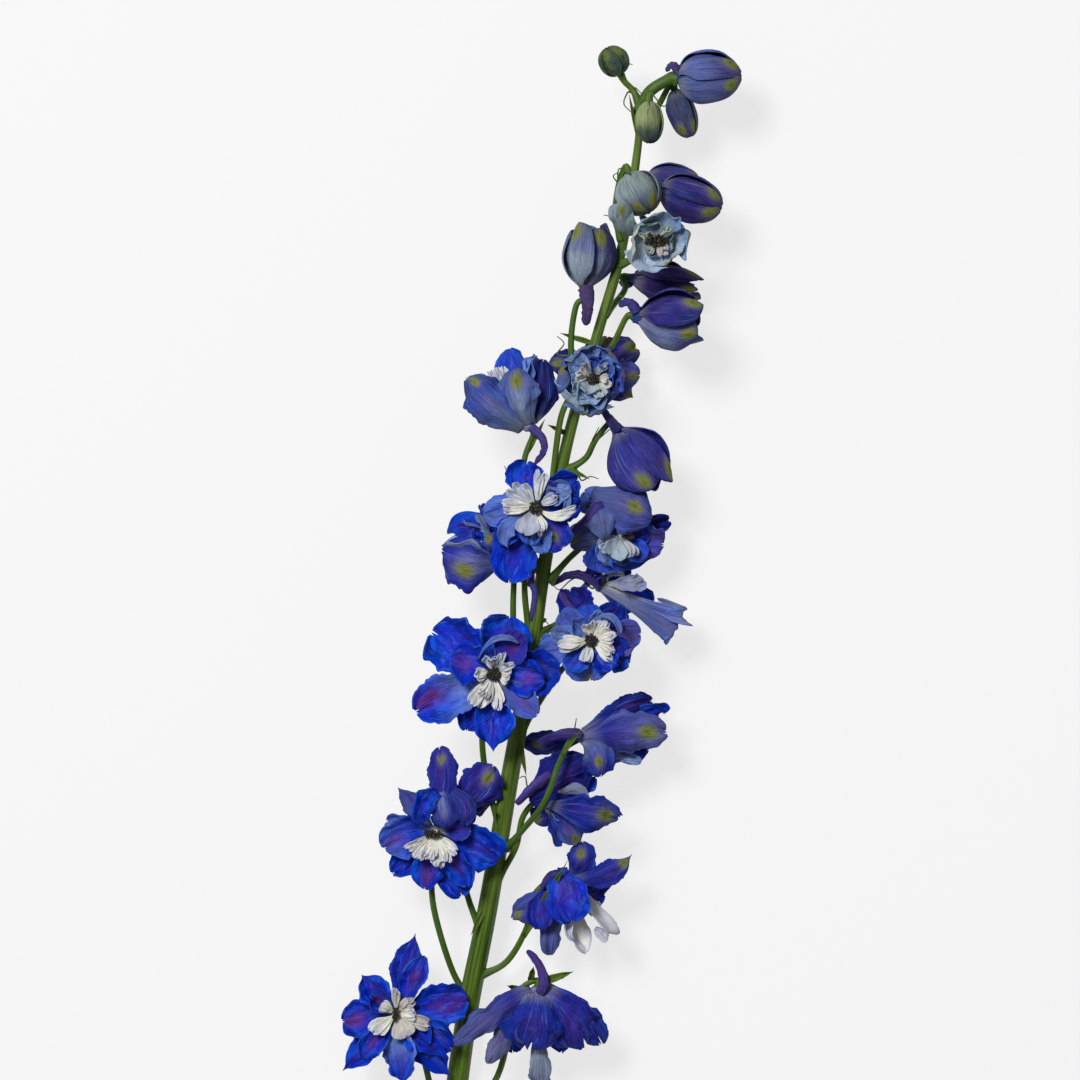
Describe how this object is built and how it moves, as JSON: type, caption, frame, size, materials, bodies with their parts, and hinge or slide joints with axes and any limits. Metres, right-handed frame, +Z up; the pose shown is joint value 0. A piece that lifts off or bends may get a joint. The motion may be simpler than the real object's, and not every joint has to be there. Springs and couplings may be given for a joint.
{
  "type": "delphinium flower spike",
  "caption": "Cut spike of blue delphinium lying on its side: a tapering green stem with stalked open blooms, half-open blooms and closed buds towards the tip.",
  "frame": {"origin": "middle of the spike's outline seen from above, on the surface that it lies on", "axes": "+Y along the stem to the tip of the spike, +Z up from the surface, +X to the right of the spike as seen from above with its tip away from the viewer"},
  "size_m": [0.1594, 0.4659, 0.0577],
  "materials": {
    "sepal_blue": "soft satin petal, cobalt with violet shadows and fine veins",
    "young_blue": "soft satin petal, lavender blue with pale green streaks",
    "bud_violet": "matt bud skin, slate violet with a yellow-green tip",
    "bee_white": "soft cream petal with faint lilac shadow",
    "stamen_brown": "matt dark brown anthers",
    "stem_green": "satin green stem with faint ribs"
  },
  "bodies": {
    "root": {"bud_1": "bud_violet", "bud_2": "bud_violet", "bud_3": "bud_violet", "bud_4": "bud_violet", "bud_5": "bud_violet", "bud_6": "bud_violet", "bud_7": "bud_violet", "floret_01_bee": "bee_white", "floret_01_sepals": "sepal_blue", "floret_01_stamens": "stamen_brown", "floret_02_bee": "bee_white", "floret_02_sepals": "sepal_blue", "floret_02_stamens": "stamen_brown", "floret_03_bee": "bee_white", "floret_03_sepals": "sepal_blue", "floret_03_stamens": "stamen_brown", "floret_04_bee": "bee_white", "floret_04_sepals": "sepal_blue", "floret_04_stamens": "stamen_brown", "floret_05_bee": "bee_white", "floret_05_sepals": "sepal_blue", "floret_06_bee": "bee_white", "floret_06_sepals": "sepal_blue", "floret_06_stamens": "stamen_brown", "floret_07_bee": "bee_white", "floret_07_sepals": "sepal_blue", "floret_08_bee": "bee_white", "floret_08_sepals": "sepal_blue", "floret_08_stamens": "stamen_brown", "floret_09_bee": "bee_white", "floret_09_sepals": "sepal_blue", "floret_09_stamens": "stamen_brown", "floret_10_bee": "bee_white", "floret_10_sepals": "sepal_blue", "floret_11_bee": "bee_white", "floret_11_sepals": "sepal_blue", "floret_11_stamens": "stamen_brown", "floret_12_bee": "bee_white", "floret_12_sepals": "sepal_blue", "floret_12_stamens": "stamen_brown", "floret_13_bee": "bee_white", "floret_13_sepals": "sepal_blue", "floret_13_stamens": "stamen_brown", "floret_14_bee": "bee_white", "floret_14_sepals": "sepal_blue", "floret_14_stamens": "stamen_brown", "floret_15_bee": "bee_white", "floret_15_sepals": "sepal_blue", "floret_15_stamens": "stamen_brown", "stem": "stem_green", "young_1": "young_blue", "young_2": "young_blue", "young_3": "young_blue", "young_4": "young_blue", "young_5": "young_blue", "young_6": "young_blue"}
  },
  "joints": []
}
